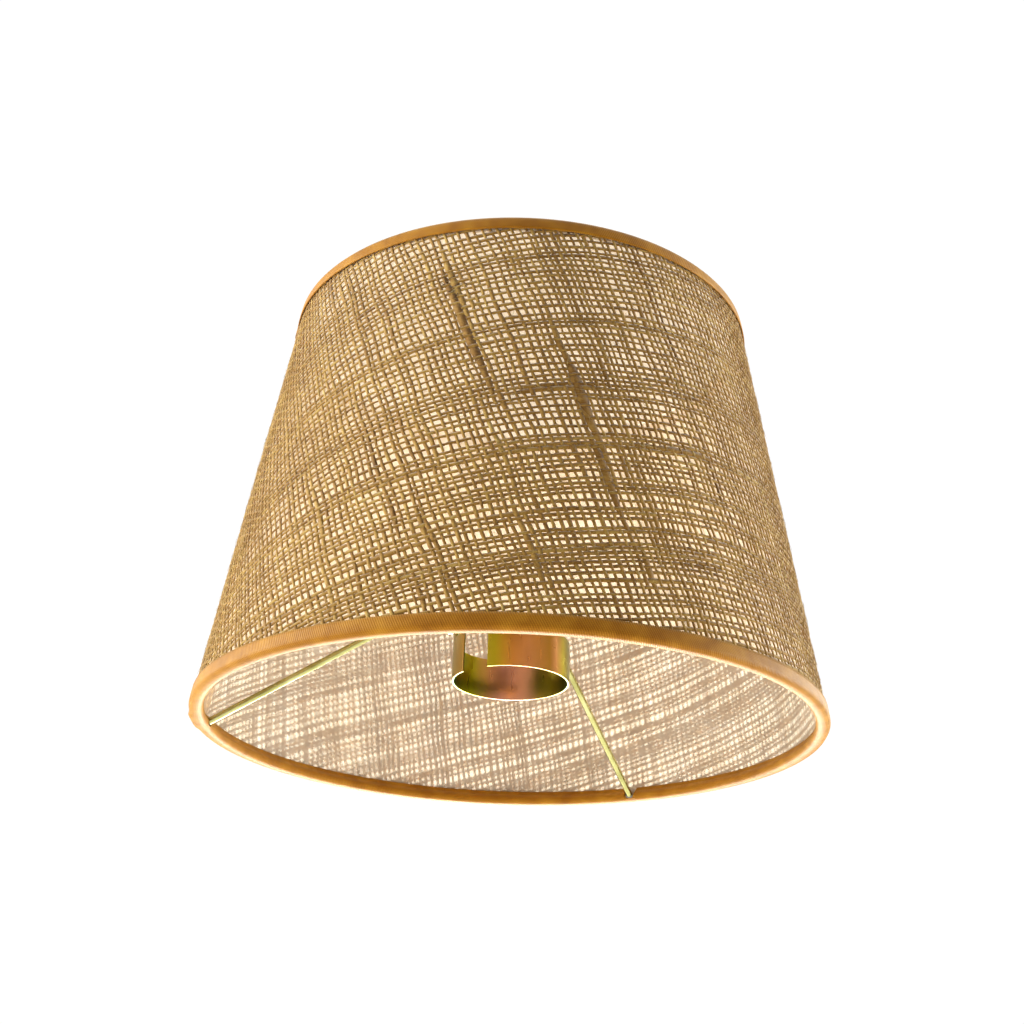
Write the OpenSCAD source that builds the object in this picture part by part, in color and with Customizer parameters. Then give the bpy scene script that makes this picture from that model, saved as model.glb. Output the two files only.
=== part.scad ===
// Conical lamp shade. Jute cloth over a translucent liner stands between two wire rings,
// tape wraps both rims, and three wire arms carry a split sleeve that grips a lampholder.
// +Z points up the shade's axis, and the origin is the centre of the bottom rim's lowest face.

/* [Shade] */
// Diameter over the bottom trim
bottom_d = 220; // [180:1:280]
// Diameter over the top trim
top_d = 170; // [140:1:178]
// Height from rim to rim
height = 157; // [120:1:220]

/* [Wall and trim] */
// Thickness of the translucent liner
liner_t = 0.4; // [0.3:0.1:0.8]
// Thickness of the jute cloth
jute_t = 1.0; // [0.6:0.1:1.4]
// Thickness of the trim tape
tape_t = 0.5; // [0.4:0.1:0.8]
// How far the tape reaches up or down the wall
tape_h = 5.5; // [5.3:0.1:12]
// Wire diameter of the two rings
ring_d = 2.6; // [2:0.1:3.2]

/* [Sleeve] */
// Bore of the sleeve, for the body of a lampholder
sleeve_bore = 40; // [28:0.5:44]
// Thickness of the sleeve's sheet
sleeve_t = 0.8; // [0.6:0.1:1.2]
// Height of the sleeve's lower edge above the rim
sleeve_z = 18.6; // [12:0.1:20]
// Height of the sleeve's band
sleeve_h = 14.7; // [10:0.1:16]
// Angle of the open slit in the sleeve
slit_angle = 30; // [10:1:40]
// Direction of the slit's middle
slit_at = 231.5; // [226:0.5:250]
// Width of each ear above the band
ear_w = 14; // [8:0.5:16]
// Height of each ear above the band
ear_h = 19; // [18:0.5:24]
// How much wider the ears stand than the band, so that only the band grips
ear_relief = 0.3; // [0.2:0.1:0.4]

/* [Arms] */
// Wire diameter of the arms
arm_d = 2.5; // [2:0.1:3]
// Direction of the arm on the far side
far_at = 62; // [56:0.5:66]
// Direction of the arm on the left
left_at = 178; // [174:0.5:186]
// Direction of the arm on the near side
near_at = 300; // [294:0.5:306]
// Height of the middle of the bend at each arm's inner end
bend_z = 46; // [45:0.5:48]
// Radius of that bend, to the middle of the wire
bend_r = 3.5; // [3:0.1:5]
// Length of the straight leg welded to the ear
leg_h = 9; // [7:0.5:11]

/* [Hidden] */
$fn = 96;
// The closest that touching pieces come to each other
gap = 0.02;
// The room around an arm where it passes through the tape
slot_gap = 0.1;
// The rounding at the outside of each rim
roll_r = 1.6;
// The step between points on a small arc, in degrees
arc_step = 15;

slope = (bottom_d - top_d) / 2 / (height - 2 * roll_r);
lean = atan(slope);
wall_t = jute_t + liner_t;
ring_r = ring_d / 2;
arm_r = arm_d / 2;
sleeve_r = sleeve_bore / 2 + sleeve_t;
arms = [far_at, left_at, near_at];

// Outside radius of the jute at a height, and the point there with a distance inwards
function jute_r(z) = bottom_d / 2 - tape_t - slope * (z - roll_r);
function wall(z, inwards = 0) = [jute_r(z) - inwards, z];

// Middle of a ring's wire in a rim's section: edge is the rim's height, and dir points into the shade
function ring_at(edge, dir) =
  wall(edge + dir * (tape_t + ring_r), wall_t + ring_r / cos(lean) + gap);

function arc(centre, r, from, to, dir) =
  let (n = ceil(abs(to - from) / arc_step))
  [for (i = [0 : n]) let (a = from + (to - from) * i / n) centre + r * [cos(a), dir * sin(a)]];

low_ring = ring_at(0, 1);
leg_r = sleeve_r + arm_r + 2 * gap;
bend_at = [leg_r + bend_r, bend_z];
to_bend = bend_at - low_ring;
// The arm's rise: it points at the ring's wire and meets the bend as a tangent
rise = atan2(to_bend.y, -to_bend.x) + asin(bend_r / norm(to_bend));

module shell(outside, thickness) {
  low = tape_t;
  high = height - tape_t;
  rotate_extrude()
    polygon([
      wall(low, outside), wall(high, outside),
      wall(high, outside + thickness), wall(low, outside + thickness)
    ]);
}

module ring(edge, dir) {
  rotate_extrude()
    translate(ring_at(edge, dir)) circle(ring_r, $fn = 32);
}

// The tape's section: round the rim's outside, across its face, round the wire and back to the liner
module trim_section(edge, dir) {
  top = edge + dir * tape_h;
  seat = edge + dir * tape_t;
  wire = ring_at(edge, dir);
  above = wire.y + dir * (ring_r + tape_t + 0.9);
  corner = wall(edge + dir * roll_r, roll_r - tape_t);
  polygon(concat(
    arc(corner, roll_r, -90, 0, dir),
    [wall(top, -tape_t), wall(top, -gap), wall(seat - dir * gap, -gap)],
    arc(wire, ring_r + gap, -90, -240, dir),
    [wall(above, wall_t + gap), wall(top, wall_t + gap), wall(top, wall_t + tape_t)],
    [wall(above + dir * tape_t / 2, wall_t + tape_t)],
    arc(wire, ring_r + tape_t, -240, -90, dir)
  ));
}

module arm_line(r, from, to) {
  translate([low_ring.x, 0, low_ring.y]) rotate([0, rise - 90, 0])
    translate([0, 0, from]) cylinder(r = r, h = to - from);
}

module trim(edge, dir) {
  rotate_extrude() trim_section(edge, dir);
}

// The bend is a hair thicker than the wire, and both straight stretches end inside it
module arm(angle) {
  reach = sqrt(norm(to_bend) ^ 2 - bend_r ^ 2);
  overlap = 10 * gap;
  rotate([0, 0, angle]) color("darkkhaki") {
    arm_line(arm_r, ring_r + gap, reach + overlap);
    translate([bend_at.x, 0, bend_at.y]) rotate([90, 0, 180])
      rotate_extrude(angle = 90 + rise)
        translate([bend_r, 0]) circle(arm_r + gap, $fn = 32);
    translate([leg_r, 0, bend_z - leg_h]) cylinder(r = arm_r, h = leg_h + overlap);
  }
}

// A sector from the axis outwards, which cuts the sleeve's sheet between two directions
module sector(from, to, low) {
  past = 3 * sleeve_r;
  translate([0, 0, low]) linear_extrude(sleeve_h + 2 * ear_h)
    polygon([[0, 0], for (a = [from, (from + to) / 2, to]) past * [cos(a), sin(a)]]);
}

module bottom_ring() {
  color("gray") ring(0, 1);
}

module top_ring() {
  color("gray") ring(height, -1);
}

module liner() {
  color("linen") shell(jute_t, liner_t);
}

module jute_cover() {
  color("tan") shell(0, jute_t);
}

module bottom_trim() {
  color("peru") difference() {
    trim(0, 1);
    for (a = arms)
      rotate([0, 0, a]) arm_line(arm_r + slot_gap, 0, 8 * tape_t);
  }
}

module top_trim() {
  color("peru") trim(height, -1);
}

// The sheet is one tube, and the slit and the spaces between the ears are cut out of it.
// The ears are thinned on their inside by their relief.
module sleeve() {
  band_top = sleeve_z + sleeve_h;
  half_ear = asin(ear_w / 2 / sleeve_r);
  tube_h = sleeve_h + ear_h;
  color("goldenrod") difference() {
    translate([0, 0, sleeve_z]) cylinder(r = sleeve_r, h = tube_h);
    translate([0, 0, sleeve_z - 1]) cylinder(d = sleeve_bore, h = tube_h + 2);
    translate([0, 0, band_top]) cylinder(d = sleeve_bore + 2 * ear_relief, h = ear_h + 1);
    sector(slit_at - slit_angle / 2, slit_at + slit_angle / 2, sleeve_z - 1);
    for (i = [0 : 2])
      sector(arms[i] + half_ear, (i < 2 ? arms[i + 1] : arms[0] + 360) - half_ear, band_top);
  }
}

module arm_far() {
  arm(far_at);
}

module arm_left() {
  arm(left_at);
}

module arm_near() {
  arm(near_at);
}

bottom_ring();
top_ring();
liner();
jute_cover();
bottom_trim();
top_trim();
sleeve();
arm_far();
arm_left();
arm_near();
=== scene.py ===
"""A conical lamp shade of jute cloth on a translucent liner, taped round two wire rings."""

import math

import bpy
import numpy as np
from mathutils import Matrix, Vector


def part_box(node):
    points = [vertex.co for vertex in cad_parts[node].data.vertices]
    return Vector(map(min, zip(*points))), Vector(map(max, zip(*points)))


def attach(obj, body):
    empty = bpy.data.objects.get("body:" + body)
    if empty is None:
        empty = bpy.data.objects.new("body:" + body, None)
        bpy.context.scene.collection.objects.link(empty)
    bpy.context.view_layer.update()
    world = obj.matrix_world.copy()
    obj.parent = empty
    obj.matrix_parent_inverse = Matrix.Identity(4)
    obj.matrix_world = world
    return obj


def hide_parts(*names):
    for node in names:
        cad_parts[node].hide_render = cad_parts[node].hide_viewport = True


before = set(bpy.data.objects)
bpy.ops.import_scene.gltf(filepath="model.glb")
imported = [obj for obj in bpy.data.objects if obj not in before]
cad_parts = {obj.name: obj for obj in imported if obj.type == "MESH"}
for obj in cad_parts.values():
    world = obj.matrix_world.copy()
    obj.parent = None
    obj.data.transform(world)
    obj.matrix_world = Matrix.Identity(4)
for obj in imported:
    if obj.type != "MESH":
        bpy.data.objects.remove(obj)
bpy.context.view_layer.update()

MM = 0.001
rng = np.random.default_rng(11)


# ---------------------------------------------------------------- sizes, in millimetres

BOTTOM_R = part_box("bottom_trim")[1].x / MM
TOP_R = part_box("top_trim")[1].x / MM
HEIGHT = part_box("top_trim")[1].z / MM
TAPE_T = 0.5
TAPE_REACH = 5.5
JUTE_T = 1.0
LINER_T = 0.4
RING_R = 1.3
ROLL_R = 1.6
ARM_R = 1.25
ARMS_AT = (62.0, 178.0, 300.0)
SLEEVE_R = 20.8
SLEEVE_T = 0.8
SLEEVE_Z = 18.6
BAND_TOP = 33.3
EAR_TOP = 52.3
EAR_W = 14.0
SLIT_AT = 231.5
SLIT_ANGLE = 30.0
LEG_R = SLEEVE_R + ARM_R
LEG_LOW = 37.0
LEG_HIGH = 46.0

SLOPE = (BOTTOM_R - TOP_R) / (HEIGHT - 2 * ROLL_R)
LEAN = math.atan(SLOPE)


def wall_r(z, inwards=0.0):
    """Radius at height z, a distance inwards from the outside of the jute."""
    return BOTTOM_R - TAPE_T - SLOPE * (z - ROLL_R) - inwards


# ---------------------------------------------------------------- small tools


def linear(code):
    """A colour for a shader from its sRGB hex code."""
    parts = [int(code[i : i + 2], 16) / 255 for i in (1, 3, 5)]
    return tuple(
        c / 12.92 if c <= 0.04045 else ((c + 0.055) / 1.055) ** 2.4 for c in parts
    ) + (1.0,)


def deselect():
    for o in bpy.context.selected_objects:
        o.select_set(False)


def smooth_step(value, start, end):
    """0 before start, 1 after end, and a smooth rise between them."""
    t = np.clip((value - start) / (end - start), 0, 1)
    return t * t * (3 - 2 * t)


def mesh_piece(name, points, faces, smooth=True):
    """A new object from points in millimetres."""
    mesh = bpy.data.meshes.new(name)
    mesh.from_pydata((np.asarray(points) * MM).tolist(), [], faces)
    mesh.polygons.foreach_set("use_smooth", [smooth] * len(mesh.polygons))
    mesh.update()
    piece = bpy.data.objects.new(name, mesh)
    bpy.context.scene.collection.objects.link(piece)
    return piece


def add(tree, kind, inputs=None, **settings):
    """Adds a node. inputs gives each socket a value or the output that feeds it."""
    made = tree.nodes.new("ShaderNode" + kind)
    for name, value in settings.items():
        setattr(made, name, value)
    for name, value in (inputs or {}).items():
        if isinstance(value, bpy.types.NodeSocket):
            tree.links.new(value, made.inputs[name])
        else:
            made.inputs[name].default_value = value
    return made


def ramp(tree, factor, *stops):
    """A colour ramp through (position, colour code) stops."""
    made = add(tree, "ValToRGB", {"Fac": factor})
    points = made.color_ramp.elements
    for position, _ in stops[2:]:
        points.new(position)
    for point, (position, code) in zip(points, stops):
        point.position = position
        point.color = linear(code)
    return made.outputs["Color"]


def new_material(name):
    material = bpy.data.materials.new(name)
    material.use_nodes = True
    material.node_tree.nodes.clear()
    return material, material.node_tree


def surface(tree, shader):
    add(tree, "OutputMaterial", {"Surface": shader})


# ---------------------------------------------------------------- camera

LENS = 53.1
CAMERA_AT = Vector((0.0, -0.5125, -0.1418))
LOOK_UP = math.radians(15.47)
PITCH = 0.1464
YAW = 0.0024
ROLL = 0.0303


def make_camera():
    ahead = Vector((0, math.cos(LOOK_UP), math.sin(LOOK_UP)))
    right = Vector((1, 0, 0))
    up = right.cross(ahead)
    ahead = ahead * math.cos(PITCH) + up * math.sin(PITCH)
    up = right.cross(ahead)
    right = right * math.cos(YAW) + ahead * math.sin(YAW)
    ahead = up.cross(right)
    right = right * math.cos(ROLL) + up * math.sin(ROLL)
    up = right.cross(ahead)
    data = bpy.data.cameras.new("camera")
    data.lens = LENS
    data.sensor_width = 36
    camera = bpy.data.objects.new("camera", data)
    bpy.context.scene.collection.objects.link(camera)
    turn = Matrix((right, up, -ahead)).transposed().to_4x4()
    camera.matrix_world = Matrix.Translation(CAMERA_AT) @ turn
    bpy.context.scene.camera = camera


make_camera()


# ---------------------------------------------------------------- materials


def jute_yarn(name, shift):
    """Jute, spun into hairy singles and woven raw. Flat tan with darker bark flecks and pale fibres,
    no gloss, and a little light comes through it."""
    material, tree = new_material(name)
    uv = add(tree, "UVMap", uv_map="yarn").outputs["UV"]
    # The tone attribute holds each yarn's own tone and, on the woven yarns, painted highlight and shade at the
    # crossings.
    tone = add(tree, "Attribute", attribute_name="tone").outputs["Fac"]
    place = add(tree, "TexCoord").outputs["Object"]
    split = add(tree, "SeparateXYZ", {"Vector": uv})
    twist = add(tree, "Math", {0: split.outputs["X"], 1: 0.22}, operation="MULTIPLY")
    around = add(
        tree, "Math", {0: split.outputs["Y"], 1: twist.outputs[0]}, operation="ADD"
    )
    lay = add(
        tree,
        "CombineXYZ",
        {"X": split.outputs["X"], "Y": around.outputs[0], "Z": shift},
    )
    # Fibres about 0.1 mm wide lie along the yarn at its twist
    fibres = add(
        tree,
        "TexNoise",
        {
            "Vector": add(
                tree, "Mapping", {"Vector": lay.outputs[0], "Scale": (0.5, 7.0, 1.0)}
            ).outputs[0],
            "Scale": 1.0,
            "Detail": 3.0,
            "Roughness": 0.6,
        },
    )
    # Thick and thin stretches of the fibre bundle, 3 to 6 mm long
    stretches = add(
        tree,
        "TexNoise",
        {
            "Vector": add(
                tree, "Mapping", {"Vector": lay.outputs[0], "Scale": (0.25, 0.5, 1.0)}
            ).outputs[0],
            "Scale": 1.0,
            "Detail": 2.0,
        },
    )
    mixed = add(
        tree,
        "Math",
        {0: fibres.outputs["Fac"], 1: 0.5, 2: tone},
        operation="MULTIPLY_ADD",
    )
    mixed = add(
        tree,
        "Math",
        {0: stretches.outputs["Fac"], 1: 0.35, 2: mixed.outputs[0]},
        operation="MULTIPLY_ADD",
    )
    colour = ramp(
        tree,
        add(
            tree, "Math", {0: mixed.outputs[0], 1: 0.07}, operation="ADD"
        ).outputs[0],
        (0.10, "#51330D"),
        (0.32, "#865B1F"),
        (0.50, "#A67A33"),
        (0.68, "#BE9749"),
        (0.90, "#E4CC88"),
    )
    # Bark flecks, a few tenths of a millimetre across
    flecks = add(
        tree,
        "TexNoise",
        {"Vector": place, "Scale": 1000 / 0.9, "Detail": 2.0, "Roughness": 0.7},
    )
    dark = add(
        tree,
        "MapRange",
        {
            "Value": flecks.outputs["Fac"],
            "From Min": 0.70,
            "From Max": 0.76,
            "To Min": 0.0,
            "To Max": 0.85,
        },
    )
    colour = add(
        tree,
        "Mix",
        {
            "Factor": dark.outputs[0],
            6: colour,
            7: linear("#3A2712"),
        },
        data_type="RGBA",
    ).outputs[2]
    bump = add(
        tree,
        "Bump",
        {"Height": fibres.outputs["Fac"], "Strength": 0.6, "Distance": 0.00008},
    )
    body = add(
        tree,
        "BsdfPrincipled",
        {
            "Base Color": colour,
            "Roughness": 0.85,
            "Specular IOR Level": 0.2,
            "Sheen Weight": 0.25,
            "Normal": bump.outputs[0],
        },
    )
    through = add(tree, "BsdfTranslucent", {"Color": colour, "Normal": bump.outputs[0]})
    both = add(
        tree, "MixShader", {0: 0.22, 1: body.outputs[0], 2: through.outputs[0]}
    )
    surface(tree, both.outputs[0])
    return material


def milky_film():
    """Styrene lampshade film, cast matt. It scatters light both ways, so the weave behind it blurs."""
    material, tree = new_material("matt_milky_film")
    place = add(tree, "TexCoord").outputs["Object"]
    cloud = add(tree, "TexNoise", {"Vector": place, "Scale": 1000 / 18, "Detail": 3.0})
    colour = ramp(tree, cloud.outputs["Fac"], (0.3, "#EFDAB8"), (0.7, "#F6E5CB"))
    through = add(tree, "BsdfTranslucent", {"Color": colour})
    back = add(
        tree,
        "BsdfPrincipled",
        {"Base Color": colour, "Roughness": 0.6, "Specular IOR Level": 0.3},
    )
    clear = add(tree, "BsdfTransparent", {"Color": linear("#FBF0DC")})
    milky = add(tree, "MixShader", {0: 0.6, 1: back.outputs[0], 2: through.outputs[0]})
    both = add(tree, "MixShader", {0: 0.3, 1: milky.outputs[0], 2: clear.outputs[0]})
    surface(tree, both.outputs[0])
    return material


def clear_film():
    """The film's inner skin, cast smooth. It is clear and shows only a weak, soft gloss."""
    material, tree = new_material("clear_film_skin")
    gloss = add(
        tree,
        "BsdfPrincipled",
        {"Base Color": linear("#FFFDF8"), "Roughness": 0.35},
    )
    clear = add(tree, "BsdfTransparent", {"Color": (1, 1, 1, 1)})
    both = add(tree, "MixShader", {0: 0.92, 1: gloss.outputs[0], 2: clear.outputs[0]})
    surface(tree, both.outputs[0])
    return material


def twill_tape():
    """Viscose bias tape in a fine twill. Ochre with a satin lustre along its ribs."""
    material, tree = new_material("woven_twill_tape")
    uv = add(tree, "UVMap", uv_map="tape").outputs["UV"]
    place = add(tree, "TexCoord").outputs["Object"]
    split = add(tree, "SeparateXYZ", {"Vector": uv})
    rib = add(
        tree,
        "Math",
        {0: split.outputs["X"], 1: 2 * math.pi},
        operation="MULTIPLY",
    )
    rib = add(tree, "Math", {0: rib.outputs[0]}, operation="COSINE")
    pick = add(
        tree, "Math", {0: split.outputs["Y"], 1: 2 * math.pi / 0.55}, operation="MULTIPLY"
    )
    pick = add(tree, "Math", {0: pick.outputs[0]}, operation="SINE")
    weave = add(
        tree,
        "Math",
        {0: pick.outputs[0], 1: 0.3, 2: rib.outputs[0]},
        operation="MULTIPLY_ADD",
    )
    wear = add(tree, "TexNoise", {"Vector": place, "Scale": 1000 / 7, "Detail": 4.0})
    mixed = add(
        tree,
        "Math",
        {0: weave.outputs[0], 1: -0.16, 2: wear.outputs["Fac"]},
        operation="MULTIPLY_ADD",
    )
    colour = ramp(
        tree,
        mixed.outputs[0],
        (0.15, "#7E4708"),
        (0.45, "#9A5E0E"),
        (0.8, "#B2781E"),
    )
    bump = add(
        tree, "Bump", {"Height": weave.outputs[0], "Strength": 0.3, "Distance": 0.00005}
    )
    body = add(
        tree,
        "BsdfPrincipled",
        {
            "Base Color": colour,
            "Roughness": 0.5,
            "Specular IOR Level": 0.2,
            "Specular Tint": linear("#FFEAA0"),
            "Sheen Weight": 0.2,
            "Sheen Tint": linear("#FFEAA0"),
            "Normal": bump.outputs[0],
        },
    )
    surface(tree, body.outputs[0])
    return material


def film_bands_and_painted_shade(tree, place, inside):
    """The passivation film's colours round the sleeve: they change with its thickness, so they run up the sheet. On
    the inside the ramp also paints shade and a highlight.
    """
    split = add(tree, "SeparateXYZ", {"Vector": place})
    turn = add(
        tree,
        "Math",
        {0: split.outputs["Y"], 1: split.outputs["X"]},
        operation="ARCTAN2",
    )
    share = add(
        tree,
        "MapRange",
        {"Value": turn.outputs[0], "From Min": -math.pi, "From Max": math.pi},
    )
    drawn = add(tree, "Mapping", {"Vector": place, "Scale": (1.0, 1.0, 0.15)})
    smear = add(
        tree,
        "TexNoise",
        {"Vector": drawn.outputs[0], "Scale": 1000 / 9, "Detail": 1.0},
    )
    share = add(
        tree,
        "Math",
        {0: smear.outputs["Fac"], 1: 0.06, 2: share.outputs[0]},
        operation="MULTIPLY_ADD",
    )
    share = add(tree, "Math", {0: share.outputs[0], 1: -0.03}, operation="ADD")
    if inside:
        # Painted shade and highlight inside: the ramp darkens to deep green towards the sides of the sleeve (+X and
        # -X) and lightens to a pale rose straight behind the axis (+Y).
        return ramp(
            tree,
            share.outputs[0],
            (0.00, "#437024"),
            (0.12, "#70701E"),
            (0.25, "#9A7936"),
            (0.40, "#807F24"),
            (0.50, "#48611D"),
            (0.56, "#6C791E"),
            (0.66, "#A2843A"),
            (0.71, "#C18D72"),
            (0.77, "#C58D7D"),
            (0.82, "#BA885B"),
            (0.87, "#B4B420"),
            (0.93, "#9AA620"),
            (1.00, "#437024"),
        )
    return ramp(
        tree,
        share.outputs[0],
        (0.00, "#7F883A"),
        (0.06, "#A28C42"),
        (0.11, "#AD8850"),
        (0.19, "#9A9322"),
        (0.225, "#AD8A2F"),
        (0.26, "#B47F3E"),
        (0.30, "#BA8454"),
        (0.36, "#A67F38"),
        (0.39, "#BC8858"),
        (0.425, "#B4A935"),
        (0.46, "#8F9550"),
        (0.55, "#B18442"),
        (0.65, "#9A932B"),
        (0.78, "#B88050"),
        (0.90, "#8D8D2B"),
        (1.00, "#7F883A"),
    )


def yellow_zinc_sheet():
    """Mild steel sheet, zinc plated and yellow passivated. The clear film shifts from olive to gold to rose."""
    material, tree = new_material("yellow_passivated_sheet")
    place = add(tree, "TexCoord").outputs["Object"]
    flat = add(tree, "VectorMath", {0: place, 1: (1, 1, 0)}, operation="MULTIPLY")
    reach = add(tree, "VectorMath", {0: flat.outputs[0]}, operation="LENGTH")
    outside = add(
        tree,
        "Math",
        {0: reach.outputs["Value"], 1: (SLEEVE_R - SLEEVE_T / 2) * MM},
        operation="GREATER_THAN",
    )
    colour = add(
        tree,
        "Mix",
        {
            "Factor": outside.outputs[0],
            6: film_bands_and_painted_shade(tree, place, True),
            7: film_bands_and_painted_shade(tree, place, False),
        },
        data_type="RGBA",
    ).outputs[2]
    drawn = add(tree, "Mapping", {"Vector": place, "Scale": (1.0, 1.0, 0.1)})
    streaks = add(
        tree,
        "TexNoise",
        {"Vector": drawn.outputs[0], "Scale": 1000 / 1.2, "Detail": 3.0},
    )
    rough = add(
        tree,
        "MapRange",
        {
            "Value": streaks.outputs["Fac"],
            "From Min": 0.3,
            "From Max": 0.7,
            "To Min": 0.27,
            "To Max": 0.32,
        },
    )
    bump = add(
        tree,
        "Bump",
        {"Height": streaks.outputs["Fac"], "Strength": 0.03, "Distance": 0.00002},
    )
    body = add(
        tree,
        "BsdfPrincipled",
        {
            "Base Color": colour,
            "Metallic": 1.0,
            "Roughness": rough.outputs[0],
            "Normal": bump.outputs[0],
        },
    )
    surface(tree, body.outputs[0])
    return material


def yellow_zinc_wire(name, dull):
    """Drawn steel wire, zinc plated and yellow passivated. Even olive gold with a sharp lengthwise glint."""
    material, tree = new_material(name)
    place = add(tree, "TexCoord").outputs["Object"]
    cloud = add(
        tree,
        "TexNoise",
        {"Vector": place, "Scale": 1000 / 9, "Detail": 3.0, "Roughness": 0.6},
    )
    colour = ramp(
        tree,
        cloud.outputs["Fac"],
        (0.30, "#958E54"),
        (0.55, "#AFA86C"),
        (0.75, "#C2BC88"),
    )
    body = add(
        tree,
        "BsdfPrincipled",
        {"Base Color": colour, "Metallic": 1.0, "Roughness": dull},
    )
    surface(tree, body.outputs[0])
    return material


def bright_wire():
    """Mild steel wire, drawn and left bright. Grey with fine lengthwise scratches."""
    material, tree = new_material("drawn_steel_wire")
    place = add(tree, "TexCoord").outputs["Object"]
    scratches = add(tree, "TexNoise", {"Vector": place, "Scale": 1000 / 0.6, "Detail": 3.0})
    colour = ramp(tree, scratches.outputs["Fac"], (0.3, "#8C8A86"), (0.7, "#B9B7B2"))
    body = add(
        tree,
        "BsdfPrincipled",
        {"Base Color": colour, "Metallic": 1.0, "Roughness": 0.35},
    )
    surface(tree, body.outputs[0])
    return material


# ---------------------------------------------------------------- liner


def make_liner():
    """The film: a cone 0.4 mm thick, milky where the cloth is glued on, with a clear skin inside."""
    low, high = TAPE_T, HEIGHT - TAPE_T
    deselect()
    bpy.ops.mesh.primitive_cone_add(
        vertices=240,
        radius1=wall_r(low, JUTE_T) * MM,
        radius2=wall_r(high, JUTE_T) * MM,
        depth=(high - low) * MM,
        end_fill_type="NOTHING",
        location=(0, 0, (low + high) / 2 * MM),
    )
    liner = bpy.context.object
    liner.name = "liner_film"
    bpy.ops.object.transform_apply(location=True)
    bpy.ops.object.mode_set(mode="EDIT")
    bpy.ops.mesh.select_all(action="SELECT")
    bpy.ops.mesh.normals_make_consistent(inside=False)
    bpy.ops.object.mode_set(mode="OBJECT")
    thick = liner.modifiers.new("thickness", "SOLIDIFY")
    thick.thickness = LINER_T * MM
    thick.offset = -1
    thick.material_offset = 1
    thick.material_offset_rim = 1
    liner.data.materials.append(milky_film())
    liner.data.materials.append(clear_film())
    bpy.ops.object.modifier_apply(modifier="thickness")
    bpy.ops.object.shade_smooth_by_angle(angle=math.radians(40))
    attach(liner, "root")
    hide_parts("liner")
    return liner


# ---------------------------------------------------------------- jute cloth

# The cloth is one flat piece bent round the cone. Its flat place is (across, up), from the cone's
# apex, with the front of the shade straight down.
TURN = math.sin(LEAN)
SEAM_AT = -91.0  # degrees from the front, towards the right
LAP = 10.0
WARP_NORMAL = 19.6
WEFT_NORMAL = 101.2
WARP_PITCH = 2.30
WEFT_PITCH = 2.25
YARN_WIDTH = 1.26
YARN_THICK = 0.4
YARN_RISE = 0.11
SEAM_RISE = 0.75
SIDES = 5

R_OUT = wall_r(1.0, JUTE_T / 2) / TURN
R_IN = wall_r(HEIGHT - 1.0, JUTE_T / 2) / TURN
START = math.radians(SEAM_AT) * TURN
FULL = 2 * math.pi * TURN


def on_cone(flat, lift):
    """Points in space, in millimetres, of flat points lifted off the middle of the cloth."""
    reach = np.hypot(flat[:, 0], flat[:, 1])
    turn = np.arctan2(flat[:, 0], -flat[:, 1])
    turn = np.where(turn < START - 0.2, turn + 2 * math.pi, turn)
    # The cloth climbs onto its own start at the seam
    lift = lift + SEAM_RISE * smooth_step((turn - START - FULL) * reach, -5.0, -1.0)
    round_at = turn / TURN
    radius = reach * TURN + lift * math.cos(LEAN)
    z = 1.0 + (R_OUT - reach) * math.cos(LEAN) + lift * math.sin(LEAN)
    return np.stack(
        [radius * np.sin(round_at), -radius * np.cos(round_at), z], axis=1
    )


def room(flat):
    """How far inside the cut each flat point is, in millimetres."""
    reach = np.hypot(flat[..., 0], flat[..., 1])
    turn = np.arctan2(flat[..., 0], -flat[..., 1])
    ends = np.minimum((turn - START) * reach, (START + FULL - turn) * reach + LAP)
    return np.minimum(np.minimum(reach - R_IN, R_OUT - reach), ends)


def yarn_places(normal, pitch, spread):
    """Distances of one family's yarns from the apex along their normal."""
    reach = R_OUT + 5
    way = math.radians(normal)
    corners = [
        r * (math.sin(t) * math.cos(way) - math.cos(t) * math.sin(way))
        for r in (R_IN - 5, reach)
        for t in np.linspace(START - 0.03, START + FULL + 0.05, 40)
    ]
    low, high = min(corners), max(corners)
    count = int((high - low) / pitch) + 2
    slow = np.convolve(rng.normal(0, 1, count + 12), np.ones(6) / 6, "same")[6:-6]
    steps = pitch * np.clip(1 + spread * rng.normal(0, 1, count) + 0.12 * slow, 0.62, 1.6)
    steps *= pitch * count / steps.sum()
    return low + np.cumsum(steps)


def smooth_noise(count, step):
    """One value per crossing that drifts over that many crossings, with a spread of 1."""
    knots = rng.normal(0, 1, int(count / step) + 4)
    return np.interp(np.arange(count) / step, np.arange(len(knots)), knots)


def weave():
    """The crossings of every warp and weft yarn, in the flat."""
    normals = np.array(
        [
            [math.cos(math.radians(a)), math.sin(math.radians(a))]
            for a in (WARP_NORMAL, WEFT_NORMAL)
        ]
    )
    warp = yarn_places(WARP_NORMAL, WARP_PITCH, 0.14)
    weft = yarn_places(WEFT_NORMAL, WEFT_PITCH, 0.2)
    back = np.linalg.inv(normals)
    grid = np.stack(np.meshgrid(warp, weft, indexing="ij"), axis=-1) @ back.T
    # The yarns wander together by a few tenths of a millimetre
    sway = np.zeros_like(grid)
    for _ in range(14):
        wave = rng.normal(0, 1, 2) * 2 * math.pi / 60
        push = rng.normal(0, 0.09, 2)
        sway += np.sin(grid @ wave + rng.uniform(0, 6.28))[..., None] * push
    sway += rng.normal(0, 0.07, grid.shape)
    return grid + sway


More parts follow.
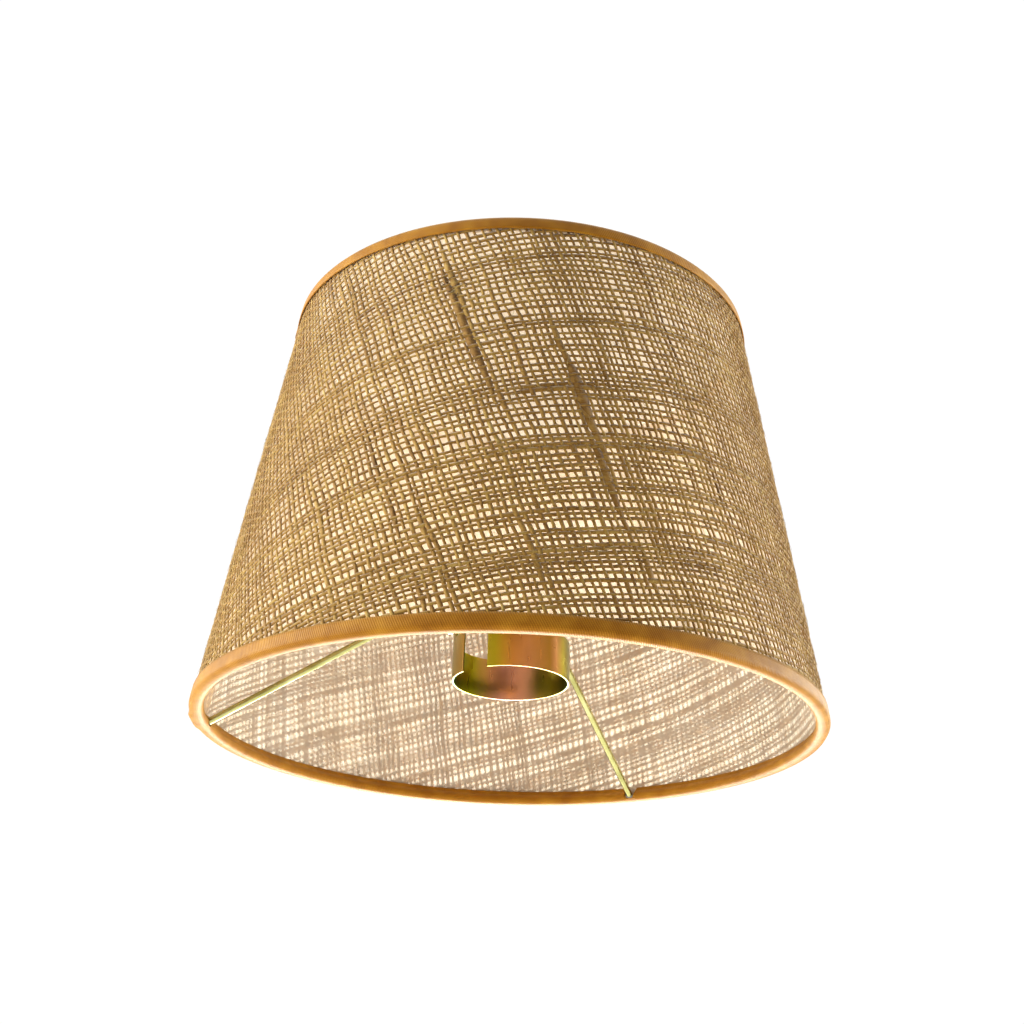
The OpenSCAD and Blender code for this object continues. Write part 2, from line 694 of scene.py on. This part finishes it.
def yarn_run(centres, lifts, widths, thicks):
    """One yarn's rings of points: flat places, lifts, and the way along it."""
    along = np.gradient(centres, axis=0)
    along /= np.linalg.norm(along, axis=1)[:, None]
    side = np.stack([-along[:, 1], along[:, 0]], axis=1)
    angle = math.radians(90) + 2 * math.pi * np.arange(SIDES) / SIDES
    across = np.cos(angle)[None, :] * widths[:, None] / 2
    # No spun yarn is round or even, so every point is a little off
    across = across + rng.normal(0, 0.045, across.shape)
    flat = centres[:, None, :] + across[..., None] * side[:, None, :]
    lift = lifts[:, None] + np.sin(angle)[None, :] * thicks[:, None] / 2
    lift = lift + rng.normal(0, 0.02, lift.shape)
    return flat.reshape(-1, 2), lift.ravel()


def make_yarns(name, runs):
    """Yarns as closed tubes in one piece. A run is the family's grid, its lines, which crossings go over, and widths."""
    flats, lifts_all, tones, faces, uvs = [], [], [], [], []
    base = 0
    total = 0.0
    for grid, line, over, width_of in [
        (grid, line, over, width_of) for grid, lines, over, width_of in runs for line in lines
    ]:
        points = grid[line]
        free = room(points)
        inside = free > 0
        edges = np.flatnonzero(np.diff(np.concatenate([[0], inside.astype(int), [0]])))
        tone = rng.normal(0.0, 0.035)
        widths_all = width_of[line]
        for first, last in zip(edges[::2], edges[1::2]):
            if last - first < 3:
                continue
            index = np.arange(first, last)
            crossing = points[index]
            up = np.where((index + line) % 2 == over, 1.0, -1.0) * YARN_RISE
            wide = widths_all[index]
            count = 2 * len(index) - 1
            centres = np.empty((count, 2))
            centres[::2] = crossing
            centres[1::2] = (crossing[1:] + crossing[:-1]) / 2
            lifts = np.zeros(count)
            lifts[::2] = up
            lifts[1::2] = rng.normal(0, 0.03, len(index) - 1)
            widths = np.empty(count)
            widths[::2] = wide
            widths[1::2] = (wide[1:] + wide[:-1]) / 2 * rng.normal(0.94, 0.07, len(index) - 1)
            for end, outer, at in ((0, first - 1, 0), (-1, last, count)):
                if 0 <= outer < len(points):
                    here = points[first] if end == 0 else points[last - 1]
                    part = free[first if end == 0 else last - 1]
                    part = part / (part - free[outer])
                    if part > 0.15:
                        tip = here + (points[outer] - here) * part
                        centres = np.insert(centres, at, tip, axis=0)
                        lifts = np.insert(lifts, at, lifts[end] * 0.4)
                        widths = np.insert(widths, at, widths[end])
                        if end == 0:
                            count += 1
            count = len(centres)
            thicks = YARN_THICK * np.clip(widths / YARN_WIDTH, 0.8, 2.6) ** 0.35
            flat, lift = yarn_run(centres, lifts, widths, thicks)
            flats.append(flat)
            lifts_all.append(lift)
            drift = smooth_noise(count, 9) * 0.06
            # Painted highlight and shade: the tone is lighter where the yarn rides over a crossing and darker where
            # it dips under one.
            painted_crossing_light = 0.05 * lifts / YARN_RISE
            bark = 0.03 * np.clip(widths / YARN_WIDTH - 1, 0, 2)
            tones.append(np.repeat(tone + drift + painted_crossing_light - bark, SIDES))
            length = np.concatenate(
                [[0], np.cumsum(np.linalg.norm(np.diff(centres, axis=0), axis=1))]
            )
            for ring in range(count - 1):
                low = base + ring * SIDES
                for k in range(SIDES):
                    n = (k + 1) % SIDES
                    faces.append((low + k, low + SIDES + k, low + SIDES + n, low + n))
                    v0, v1 = k / SIDES, (k + 1) / SIDES
                    u0, u1 = total + length[ring], total + length[ring + 1]
                    uvs.extend((u0, v0, u1, v0, u1, v1, u0, v1))
            for low, order in ((base, 1), (base + (count - 1) * SIDES, -1)):
                faces.append(tuple(low + k for k in range(SIDES))[::order])
                uvs.extend((total, 0.5) * SIDES)
            total += length[-1] + 17.3
            base += count * SIDES
    flat = np.concatenate(flats)
    piece = mesh_piece(name, on_cone(flat, np.concatenate(lifts_all)), faces)
    mesh = piece.data
    mesh.attributes.new("tone", "FLOAT", "POINT").data.foreach_set(
        "value", np.concatenate(tones).astype(np.float32)
    )
    mesh.uv_layers.new(name="yarn").data.foreach_set(
        "uv", np.array(uvs, np.float32)
    )
    return piece


# The thickest slubs: the family, where they are (degrees from the front, height), their half
# length in crossings, and how much they add to the yarn's width
SLUBS = (
    ("warp", -16.0, 131.0, 7.0, 1.0),
    ("warp", -14.0, 122.0, 4.0, 0.6),
    ("warp", -9.5, 104.0, 9.0, 1.0),
    ("warp", -2.5, 76.0, 7.0, 0.7),
    ("warp", 9.5, 96.0, 9.0, 0.9),
    ("warp", 12.8, 79.0, 8.0, 1.1),
    ("warp", 15.5, 57.0, 8.0, 0.9),
    ("warp", 3.5, 26.0, 6.0, 0.9),
    ("warp", 22.0, 23.0, 4.0, 0.8),
    ("warp", -36.0, 40.0, 9.0, 0.7),
    ("warp", -60.0, 70.0, 12.0, 0.7),
    ("weft", 8.0, 86.5, 7.0, 0.6),
    ("weft", 4.0, 63.0, 9.0, 0.6),
    ("weft", -22.0, 26.0, 5.0, 0.9),
    ("weft", -12.0, 46.0, 12.0, 0.4),
    ("weft", 30.0, 70.0, 9.0, 0.5),
    ("weft", 150.0, 80.0, 16.0, 0.9),
    ("warp", 120.0, 60.0, 12.0, 0.9),
    ("warp", 205.0, 95.0, 10.0, 1.0),
)


def flat_place(round_at, z):
    """The flat place of a direction from the front in degrees, and a height."""
    reach = R_OUT - (z - 1.0) / math.cos(LEAN)
    turn = math.radians(round_at) * TURN
    return np.array([reach * math.sin(turn), -reach * math.cos(turn)])


def add_slubs(widths, places, family):
    for kind, round_at, z, half, size in SLUBS:
        if kind == family:
            off = np.linalg.norm(places - flat_place(round_at, z), axis=2)
            line, middle = np.unravel_index(off.argmin(), off.shape)
            steps = (np.arange(widths.shape[1]) - middle) / half
            widths[line] *= 1 + size * np.exp(-(steps**2))


def yarn_widths(lines, crossings, wide):
    """A width for every yarn at every crossing, with small slubs where the spinning left them."""
    widths = np.empty((lines, crossings))
    for line in range(lines):
        own = wide * np.clip(rng.normal(1, 0.09), 0.8, 1.3)
        profile = 1 + 0.1 * smooth_noise(crossings, 5) + 0.06 * smooth_noise(crossings, 1.5)
        for _ in range(rng.poisson(1.1)):
            middle = rng.uniform(0, crossings)
            length = rng.uniform(2, 10)
            size = rng.uniform(0.1, 0.45)
            profile += size * np.exp(-(((np.arange(crossings) - middle) / length) ** 2))
        widths[line] = own * np.clip(profile, 0.6, 2.2)
    return widths


def make_cloth():
    grid = weave()
    warps, wefts = grid.shape[:2]
    turned = grid.transpose(1, 0, 2)
    warp_wide = yarn_widths(warps, wefts, YARN_WIDTH)
    weft_wide = yarn_widths(wefts, warps, YARN_WIDTH)
    add_slubs(warp_wide, grid, "warp")
    add_slubs(weft_wide, turned, "weft")
    families = ((warps, grid, 0, warp_wide), (wefts, turned, 1, weft_wide))
    cuts = []
    for lines, places, _, _ in families:
        inside = np.array([(room(places[i]) > 0).sum() for i in range(lines)])
        share = np.cumsum(inside) / inside.sum()
        cuts.append([0, *(int(np.searchsorted(share, k / 4)) for k in (1, 2, 3)), lines])
    yarn = jute_yarn("raw_jute_yarn", 0.0)
    pieces = []
    for part in range(4):
        runs = [
            (places, range(cut[part], cut[part + 1]), over, wide)
            for (_, places, over, wide), cut in zip(families, cuts)
        ]
        piece = make_yarns(f"jute_yarns_{part + 1}", runs)
        piece.data.materials.append(yarn)
        pieces.append(piece)
    return grid, yarn, pieces


def make_fuzz(grid, yarn):
    """Loose fibre ends that stand off the yarns. They are three times as thick as real ones, so that they show."""
    rings, sides = 4, 3
    wanted, creases = 8000, 9
    i = rng.integers(1, grid.shape[0] - 1, wanted * 3)
    j = rng.integers(1, grid.shape[1] - 1, wanted * 3)
    free = room(grid[i, j]) > 9
    start = grid[i[free], j[free]][:wanted]
    count = len(start)
    start = start + rng.normal(0, 0.5, start.shape)
    warp_way = math.radians(WARP_NORMAL + 90)
    weft_way = math.radians(WEFT_NORMAL + 90)
    heading = np.where(rng.random(count) < 0.5, warp_way, weft_way) + rng.normal(0, 0.45, count)
    heading += np.where(rng.random(count) < 0.5, math.pi, 0)
    length = rng.gamma(3.0, 1.1, count) + 0.8
    turn = rng.normal(0, 0.7, count)
    thick = rng.uniform(0.04, 0.075, count)
    rise = rng.uniform(0.0, 0.5, count)
    tone = rng.normal(0.12, 0.12, count)
    # Creases of dark fibre on the thickest slub
    start[:creases] = flat_place(-14.7, 126.0) + rng.normal(0, 1.6, (creases, 2))
    heading[:creases] = rng.uniform(0, 6.28, creases)
    length[:creases] = rng.uniform(3, 6, creases)
    turn[:creases] = rng.normal(0, 2.2, creases)
    thick[:creases] = 0.13
    rise[:creases] = 0.25
    tone[:creases] = -0.5
    part = np.linspace(0, 1, rings)
    flat = np.empty((count, rings, 2))
    way = np.empty((count, rings))
    flat[:, 0] = start
    for k in range(rings):
        way[:, k] = heading + turn * part[k]
        if k:
            step = length / (rings - 1)
            flat[:, k] = flat[:, k - 1] + np.stack(
                [np.cos(way[:, k - 1]) * step, np.sin(way[:, k - 1]) * step], axis=1
            )
    base = 0.3 + rise[:, None] * part[None, :] ** 1.5
    base[:, 0] = 0.15
    across = np.stack([-np.sin(way), np.cos(way)], axis=2)
    angle = 2 * math.pi * np.arange(sides) / sides
    wide = thick[:, None] * (1 - 0.55 * part[None, :])
    points = flat[:, :, None, :] + (
        across[:, :, None, :] * (wide[:, :, None] * np.cos(angle))[..., None]
    )
    lifts = base[:, :, None] + wide[:, :, None] * np.sin(angle)
    block = []
    for ring in range(rings - 1):
        for k in range(sides):
            n = (k + 1) % sides
            low = ring * sides
            block.append([low + k, low + sides + k, low + sides + n, low + n])
    first = np.arange(count) * rings * sides
    quads = (first[:, None, None] + np.array(block)[None]).reshape(-1, 4)
    last = first + (rings - 1) * sides
    caps = np.concatenate(
        [
            np.stack([first, first + 1, first + 2], axis=1),
            np.stack([last + 2, last + 1, last], axis=1),
        ]
    )
    places = on_cone(points.reshape(-1, 2), lifts.ravel())
    piece = mesh_piece("jute_fibre_ends", places, quads.tolist() + caps.tolist())
    tones = np.repeat(tone, rings * sides).astype(np.float32)
    piece.data.attributes.new("tone", "FLOAT", "POINT").data.foreach_set("value", tones)
    layer = piece.data.uv_layers.new(name="yarn")
    corner = np.zeros(len(piece.data.loops), np.int64)
    piece.data.loops.foreach_get("vertex_index", corner)
    along = (corner % (rings * sides)) // sides * 1.5 + corner // (rings * sides) * 3.1
    uv = np.stack([along, (corner % sides) / sides], axis=1)
    layer.data.foreach_set("uv", uv.astype(np.float32).ravel())
    piece.data.materials.append(yarn)
    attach(piece, "root")
    return piece


def make_seam_film(liner):
    """Where the film climbs over its own start at the seam: a strip that ends at the cut edge."""
    turns, rows = 10, 24
    reach = np.linspace(R_OUT, R_IN, rows)
    past = np.linspace(-6.0, LAP + 0.1, turns)
    turn = START + FULL + past[None, :] / reach[:, None]
    flat = np.stack([reach[:, None] * np.sin(turn), -reach[:, None] * np.cos(turn)], axis=2)
    flat = flat.reshape(-1, 2)
    under = JUTE_T / 2 + LINER_T
    points = np.concatenate(
        [on_cone(flat, np.full(len(flat), -JUTE_T / 2)), on_cone(flat, np.full(len(flat), -under))]
    )
    faces = []
    half = turns * rows
    for row in range(rows - 1):
        for k in range(turns - 1):
            a = row * turns + k
            faces.append((a, a + 1, a + turns + 1, a + turns))
            faces.append((half + a, half + a + turns, half + a + turns + 1, half + a + 1))
    rim = [k for k in range(turns)]
    rim += [row * turns + turns - 1 for row in range(1, rows)]
    rim += [(rows - 1) * turns + k for k in range(turns - 2, -1, -1)]
    rim += [row * turns for row in range(rows - 2, 0, -1)]
    for a, b in zip(rim, rim[1:] + rim[:1]):
        faces.append((a, half + a, half + b, b))
    strip = mesh_piece("seam_film", points, faces)
    strip.data.materials.append(liner.data.materials[0])
    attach(strip, "root")
    return strip


# ---------------------------------------------------------------- tape

RIB = 0.75
RIB_STEPS = 4
RIB_SLANT = 0.5
RIB_SHAPE = (0.0, 0.75, 1.0, 0.6)
RIB_HIGH = 0.06


def arc(centre, radius, start, end, steps):
    angles = np.radians(np.linspace(start, end, steps + 1))
    return [
        (centre[0] + radius * math.cos(a), centre[1] + radius * math.sin(a)) for a in angles
    ]


def tape_line():
    """The middle of the tape in a section of the bottom rim: radius from the wall's line, and height."""
    half = TAPE_T / 2
    wire = (
        wall_r(TAPE_T + RING_R, JUTE_T + LINER_T + RING_R / math.cos(LEAN) + 0.02),
        TAPE_T + RING_R,
    )
    corner = (wall_r(ROLL_R, ROLL_R - TAPE_T), ROLL_R)
    inner = JUTE_T + LINER_T + half
    points = [(wall_r(TAPE_REACH, -half), TAPE_REACH)]
    points += arc(corner, ROLL_R - half, 0, -90, 5)
    points += arc(wire, RING_R + half, -90, -235, 7)
    points += [(wall_r(4.6, inner), 4.6), (wall_r(TAPE_REACH, inner), TAPE_REACH)]
    return np.array(points)


def resample(line, count):
    """The line again with that many points, evenly spaced, and its length."""
    steps = np.concatenate([[0], np.cumsum(np.linalg.norm(np.diff(line, axis=0), axis=1))])
    at = np.linspace(0, steps[-1], count)
    return np.stack([np.interp(at, steps, line[:, k]) for k in (0, 1)], axis=1), steps[-1]


def make_tape(name, node, edge, way):
    """A taped rim: a closed strip round the jute's edge and the wire, with slanted ribs on its outer face."""
    outer_rows, inner_rows = 15, 9
    line, across = resample(tape_line(), 200)
    slopes = np.gradient(line, axis=0)
    slopes /= np.linalg.norm(slopes, axis=1)[:, None]
    outward = np.stack([-slopes[:, 1], slopes[:, 0]], axis=1)
    rows_out = np.linspace(0, 199, outer_rows).astype(int)
    rows_in = np.linspace(199, 0, inner_rows).astype(int)
    rows = np.concatenate([rows_out, rows_in])
    side = np.concatenate([np.ones(outer_rows), -np.ones(inner_rows)])
    shrink = 0.0 if way > 0 else TOP_R - BOTTOM_R
    if way < 0:
        # the same section upside down leans the other way
        line = line.copy()
        line[:, 0] += 2 * SLOPE * (line[:, 1] - ROLL_R)
    radius = (BOTTOM_R if way > 0 else TOP_R) - 1
    ribs = round(2 * math.pi * radius / RIB)
    columns = ribs * RIB_STEPS
    step = 2 * math.pi / columns
    column = np.arange(columns)
    rib = np.array(RIB_SHAPE)[column % RIB_STEPS] * RIB_HIGH
    rib = rib * rng.normal(1, 0.12, ribs).repeat(RIB_STEPS)
    distance = rows / 199 * across
    points = np.empty((columns, len(rows), 3))
    for k, row in enumerate(rows):
        at = np.full(columns, float(row))
        turn = column * step + RIB_SLANT * distance[k] / radius
        if way > 0:
            for arm in ARMS_AT:
                off = (turn - math.radians(arm + 90) + math.pi) % (2 * math.pi) - math.pi
                off = np.abs(off) * radius
                near = np.clip((2.6 - off) / 1.1, 0, 1)
                near = near * near * (3 - 2 * near)
                stop = 0.63 * 199
                cut = np.where(at > stop, stop + (at - stop) * 0.03, at)
                at = at + (cut - at) * near
        first = np.clip(at.astype(int), 0, 198)
        part = (at - first)[:, None]
        place = line[first] * (1 - part) + line[first + 1] * part
        out = outward[first]
        if k in (0, outer_rows - 1):
            place = place + slopes[first] * (rib * (1.2 if k else -1.2))[:, None]
        lift = side[k] * TAPE_T / 2 + (rib - RIB_HIGH if side[k] > 0 else 0.0)
        place = place + out * np.broadcast_to(lift, columns)[:, None]
        # The tape swells over the seam's lap
        past = ((turn - START / TURN) % (2 * math.pi)) * radius
        over = smooth_step(past, LAP + 5, LAP)
        over = np.maximum(over, smooth_step(past, 2 * math.pi * radius - 6, 2 * math.pi * radius - 1))
        swell = SEAM_RISE * smooth_step(distance[k], 8.5, 5.5) * over
        r = place[:, 0] + shrink + swell
        points[:, k] = np.stack(
            [r * np.sin(turn), -r * np.cos(turn), edge + way * place[:, 1]], axis=1
        )
    around = len(rows)
    a = (column[:, None] * around + np.arange(around)[None, :]).ravel()
    b = (column[:, None] * around + (np.arange(around)[None, :] + 1) % around).ravel()
    c = (b + around) % (columns * around)
    d = (a + around) % (columns * around)
    quads = np.stack([a, d, c, b] if way > 0 else [a, b, c, d], axis=1)
    tape = mesh_piece(name, points.reshape(-1, 3), quads.tolist())
    u0 = np.repeat(column / RIB_STEPS, around)
    v0 = np.tile(distance, columns)
    v1 = np.tile(np.roll(distance, -1), columns)
    u1 = u0 + 1 / RIB_STEPS
    if way > 0:
        uv = np.stack([u0, v0, u1, v0, u1, v1, u0, v1], axis=1)
    else:
        uv = np.stack([u0, v0, u0, v1, u1, v1, u1, v0], axis=1)
    tape.data.uv_layers.new(name="tape").data.foreach_set("uv", uv.astype(np.float32).ravel())
    tape.data.materials.append(TAPE)
    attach(tape, "root")
    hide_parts(node)
    return tape


# ---------------------------------------------------------------- sleeve and arms


def select_faces(piece, wanted):
    """Selects the faces whose centre and normal the test accepts. The piece is in edit mode before and after."""
    bpy.ops.mesh.select_all(action="DESELECT")
    bpy.ops.object.mode_set(mode="OBJECT")
    for face in piece.data.polygons:
        face.select = wanted(face.center / MM, face.normal)
    bpy.ops.object.mode_set(mode="EDIT")


def angle_from(place, direction):
    """How far a place is from a direction round the axis, in degrees."""
    turn = math.degrees(math.atan2(place.y, place.x)) - direction
    return abs((turn + 180) % 360 - 180)


def make_sleeve():
    """The sleeve: one rolled strip of sheet with an open slit and three ears, its edges slightly rounded."""
    deselect()
    bpy.ops.mesh.primitive_cylinder_add(
        vertices=360,
        radius=SLEEVE_R * MM,
        depth=(EAR_TOP - SLEEVE_Z) * MM,
        end_fill_type="NOTHING",
        location=(0, 0, (EAR_TOP + SLEEVE_Z) / 2 * MM),
        rotation=(0, 0, math.radians(0.5)),
    )
    sleeve = bpy.context.object
    sleeve.name = "sleeve_sheet"
    bpy.ops.object.transform_apply(location=True, rotation=True)
    bpy.ops.object.mode_set(mode="EDIT")
    for height in (BAND_TOP, EAR_TOP - 1.2, EAR_TOP - 0.45, EAR_TOP - 0.1):
        bpy.ops.mesh.select_all(action="SELECT")
        bpy.ops.mesh.bisect(plane_co=(0, 0, height * MM), plane_no=(0, 0, 1))
    half_ear = math.degrees(math.asin(EAR_W / 2 / SLEEVE_R))

    def cut_away(place, normal):
        if angle_from(place, SLIT_AT) < SLIT_ANGLE / 2:
            return True
        if place.z < BAND_TOP:
            return False
        off = min(angle_from(place, arm) for arm in ARMS_AT)
        # Rounded corners at the top of each ear
        down = max(0.0, place.z - (EAR_TOP - 1.5)) / 1.5
        corner = 1.5 * (1 - math.sqrt(max(0.0, 1 - down * down)))
        return off > half_ear - math.degrees(corner / SLEEVE_R)

    select_faces(sleeve, cut_away)
    bpy.ops.mesh.delete(type="FACE")
    bpy.ops.mesh.select_all(action="SELECT")
    bpy.ops.mesh.normals_make_consistent(inside=False)
    bpy.ops.object.mode_set(mode="OBJECT")
    # The test for the outside: a strip's normals can come out either way round
    middle = sleeve.data.polygons[0]
    if middle.normal.dot(Vector((middle.center.x, middle.center.y, 0))) < 0:
        bpy.ops.object.mode_set(mode="EDIT")
        bpy.ops.mesh.select_all(action="SELECT")
        bpy.ops.mesh.flip_normals()
        bpy.ops.object.mode_set(mode="OBJECT")
    thick = sleeve.modifiers.new("thickness", "SOLIDIFY")
    thick.thickness = SLEEVE_T * MM
    thick.offset = -1
    bpy.ops.object.modifier_apply(modifier="thickness")
    bevel = sleeve.modifiers.new("edges", "BEVEL")
    bevel.width = 0.18 * MM
    bevel.segments = 2
    bevel.limit_method = "ANGLE"
    bevel.angle_limit = math.radians(50)
    bpy.ops.object.modifier_apply(modifier="edges")
    bpy.ops.object.shade_smooth_by_angle(angle=math.radians(35))
    sleeve.data.materials.append(yellow_zinc_sheet())
    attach(sleeve, "root")
    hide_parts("sleeve")
    return sleeve


def make_welds():
    """The two beads that join each arm's leg to its ear."""
    bead = yellow_zinc_wire("yellow_passivated_weld", 0.45)
    for node, arm in zip(("far", "left", "near"), ARMS_AT):
        deselect()
        made = []
        for way in (-1, 1):
            bpy.ops.mesh.primitive_uv_sphere_add(
                segments=20,
                ring_count=14,
                radius=1.0 * MM,
                location=((SLEEVE_R + 0.35) * MM, way * 1.0 * MM, (LEG_LOW + LEG_HIGH) / 2 * MM),
            )
            weld = bpy.context.object
            bpy.ops.object.mode_set(mode="EDIT")
            bpy.ops.mesh.select_all(action="SELECT")
            bpy.ops.transform.resize(value=(0.55, 0.75, 3.4))
            bpy.ops.object.mode_set(mode="OBJECT")
            for point in weld.data.vertices:
                ripple = 1 + 0.1 * math.sin(point.co.z / MM * 5.2 + way)
                point.co.x *= ripple
                point.co.y *= ripple
            bpy.ops.object.transform_apply(location=True)
            made.append(weld)
        deselect()
        for weld in made:
            weld.select_set(True)
        bpy.context.view_layer.objects.active = made[0]
        bpy.ops.object.join()
        weld = made[0]
        weld.name = f"weld_{node}"
        weld.data.transform(Matrix.Rotation(math.radians(arm), 4, "Z"))
        bpy.ops.object.shade_smooth()
        weld.data.materials.append(bead)
        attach(weld, "root")


def dress_wires():
    """Finishes for the wires that come straight from the frame."""
    zinc = yellow_zinc_wire("yellow_passivated_wire", 0.2)
    steel = bright_wire()
    for name, finish in (
        ("arm_far", zinc),
        ("arm_left", zinc),
        ("arm_near", zinc),
        ("bottom_ring", steel),
        ("top_ring", steel),
    ):
        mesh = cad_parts[name].data
        mesh.materials.clear()
        mesh.materials.append(finish)


# ---------------------------------------------------------------- build

liner = make_liner()
grid, yarn, cloth = make_cloth()
make_seam_film(liner)
fuzz = make_fuzz(grid, yarn)
for piece in cloth:
    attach(piece, "root")
    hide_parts("jute_cover")

TAPE = twill_tape()
make_tape("bottom_tape", "bottom_trim", 0.0, 1)
make_tape("top_tape", "top_trim", HEIGHT, -1)
make_sleeve()
make_welds()
dress_wires()


# ---------------------------------------------------------------- stage


def make_stage():
    """A pale floor well below the shade, which hangs as it does on a lamp, and soft white light all round."""
    deselect()
    bpy.ops.mesh.primitive_plane_add(size=8, location=(0, 0, -0.62))
    floor = bpy.context.object
    floor.name = "floor"
    bpy.ops.object.transform_apply(location=True)
    material, tree = new_material("pale_paper_floor")
    body = add(
        tree, "BsdfPrincipled", {"Base Color": linear("#F2F1EE"), "Roughness": 0.8}
    )
    surface(tree, body.outputs[0])
    floor.data.materials.append(material)

    world = bpy.data.worlds.new("studio")
    bpy.context.scene.world = world
    world.use_nodes = True
    tree = world.node_tree
    tree.nodes.clear()
    way = add(tree, "TexCoord").outputs["Generated"]
    # The room is dim in front of the shade, and brightest behind it and to the left
    bright = add(
        tree,
        "VectorMath",
        {0: way, 1: (-0.35, 0.9, 0.15)},
        operation="DOT_PRODUCT",
    )
    strength = add(
        tree,
        "MapRange",
        {
            "Value": bright.outputs["Value"],
            "From Min": -0.7,
            "From Max": 0.35,
            "To Min": 0.08,
            "To Max": 1.5,
        },
    )
    room_light = add(
        tree, "Background", {"Color": (1, 1, 1, 1), "Strength": strength.outputs[0]}
    )
    backdrop = add(tree, "Background", {"Color": (1, 1, 1, 1), "Strength": 1.03})
    seen = add(tree, "LightPath").outputs["Is Camera Ray"]
    both = add(
        tree, "MixShader", {0: seen, 1: room_light.outputs[0], 2: backdrop.outputs[0]}
    )
    add(tree, "OutputWorld", {"Surface": both.outputs[0]})

    for name, place, target, size, power, colour in (
        ("behind", (0.0, 0.85, -0.5), (0, 0, 0.05), 0.45, 20.0, (1, 1, 1)),
        ("left", (-1.2, -0.05, 0.3), (0, 0, 0.08), 0.8, 28.0, (0.92, 1.0, 1.0)),
        ("right", (1.15, 0.4, 0.2), (0, 0, 0.08), 0.8, 26.0, (0.92, 1.0, 1.0)),
    ):
        lamp = bpy.data.lights.new(name, "AREA")
        lamp.shape = "SQUARE"
        lamp.size = size
        lamp.energy = power
        lamp.color = colour
        made = bpy.data.objects.new(name, lamp)
        bpy.context.scene.collection.objects.link(made)
        made.location = place
        aim = Vector(target) - Vector(place)
        made.rotation_euler = aim.to_track_quat("-Z", "Y").to_euler()
        made.visible_camera = False


make_stage()
bpy.context.scene.view_settings.view_transform = "Standard"

bpy.context.view_layer.update()
